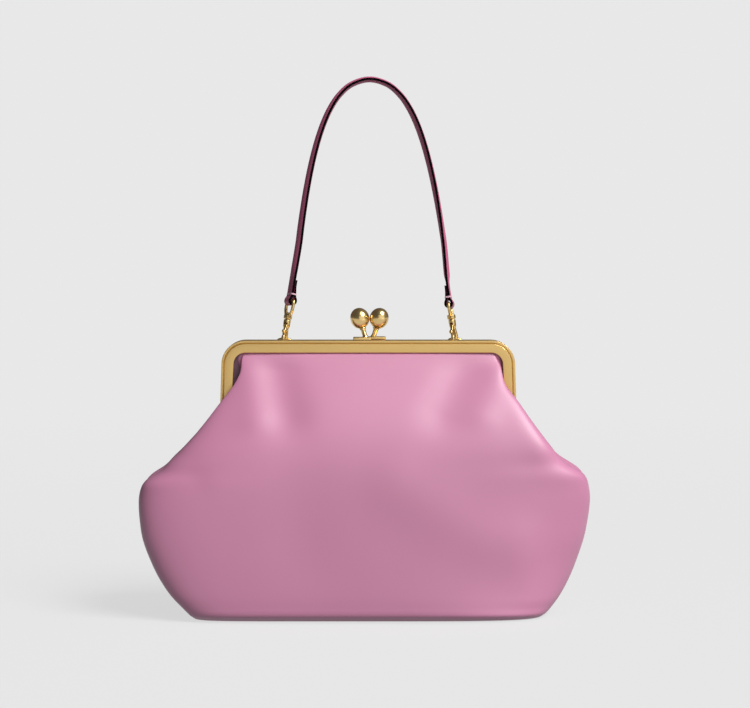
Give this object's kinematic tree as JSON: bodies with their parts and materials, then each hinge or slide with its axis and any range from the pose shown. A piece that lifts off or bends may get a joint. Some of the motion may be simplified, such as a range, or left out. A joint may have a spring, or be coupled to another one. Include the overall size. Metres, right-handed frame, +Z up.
{
  "type": "kiss lock clutch bag",
  "caption": "Soft leather frame bag with a gold purse frame, a ball kiss lock and a slim leather strap on swivel snap hooks",
  "frame": {"origin": "the middle of the base, on the surface that the bag stands on", "axes": "+X to the bag's right side as seen from the front, the front faces -Y, +Z up through the strap"},
  "size_m": [0.3079, 0.095, 0.3701],
  "materials": {
    "body_leather": "smooth pink leather with a soft sheen",
    "strap_leather": "smooth pink leather with black painted edges",
    "satin_gold": "satin gold plate, brushed along the bar",
    "polished_gold": "polished gold plate"
  },
  "bodies": {
    "bag": {"front_panel": "body_leather", "back_panel": "body_leather", "front_frame": "satin_gold", "back_frame": "satin_gold", "left_hinge_rivet": "satin_gold", "right_hinge_rivet": "satin_gold", "front_kiss_clasp": "polished_gold", "back_kiss_clasp": "polished_gold", "strap": "strap_leather", "left_swivel_eye": "polished_gold", "right_swivel_eye": "polished_gold"},
    "left_hook": {"left_snap_hook": "polished_gold"},
    "right_hook": {"right_snap_hook": "polished_gold"},
    "left_gate": {"left_hook_gate": "polished_gold"},
    "right_gate": {"right_hook_gate": "polished_gold"}
  },
  "joints": [
    {"name": "left_swivel", "type": "hinge", "parent": "bag", "child": "left_hook", "pos_m": [-0.0582, 0.0128, 0.1874], "axis": [0.1584, 0.1374, 0.9778], "range_deg": [-24, 41]},
    {"name": "right_swivel", "type": "hinge", "parent": "bag", "child": "right_hook", "pos_m": [0.0599, 0.0128, 0.1874], "axis": [-0.1515, 0.1376, 0.9788], "range_deg": [-13, 51]},
    {"name": "left_gate_hinge", "type": "hinge", "parent": "left_hook", "child": "left_gate", "pos_m": [-0.05683, 0.01328, 0.19713], "axis": [0.9658, -0.2275, -0.1245], "range_deg": [0, 18], "stiffness_Nm_per_rad": 0.01, "springref_deg": -17.19},
    {"name": "right_gate_hinge", "type": "hinge", "parent": "right_hook", "child": "right_gate", "pos_m": [0.05805, 0.01333, 0.19705], "axis": [0.903, -0.3835, 0.1937], "range_deg": [0, 18], "stiffness_Nm_per_rad": 0.01, "springref_deg": -17.19}
  ]
}
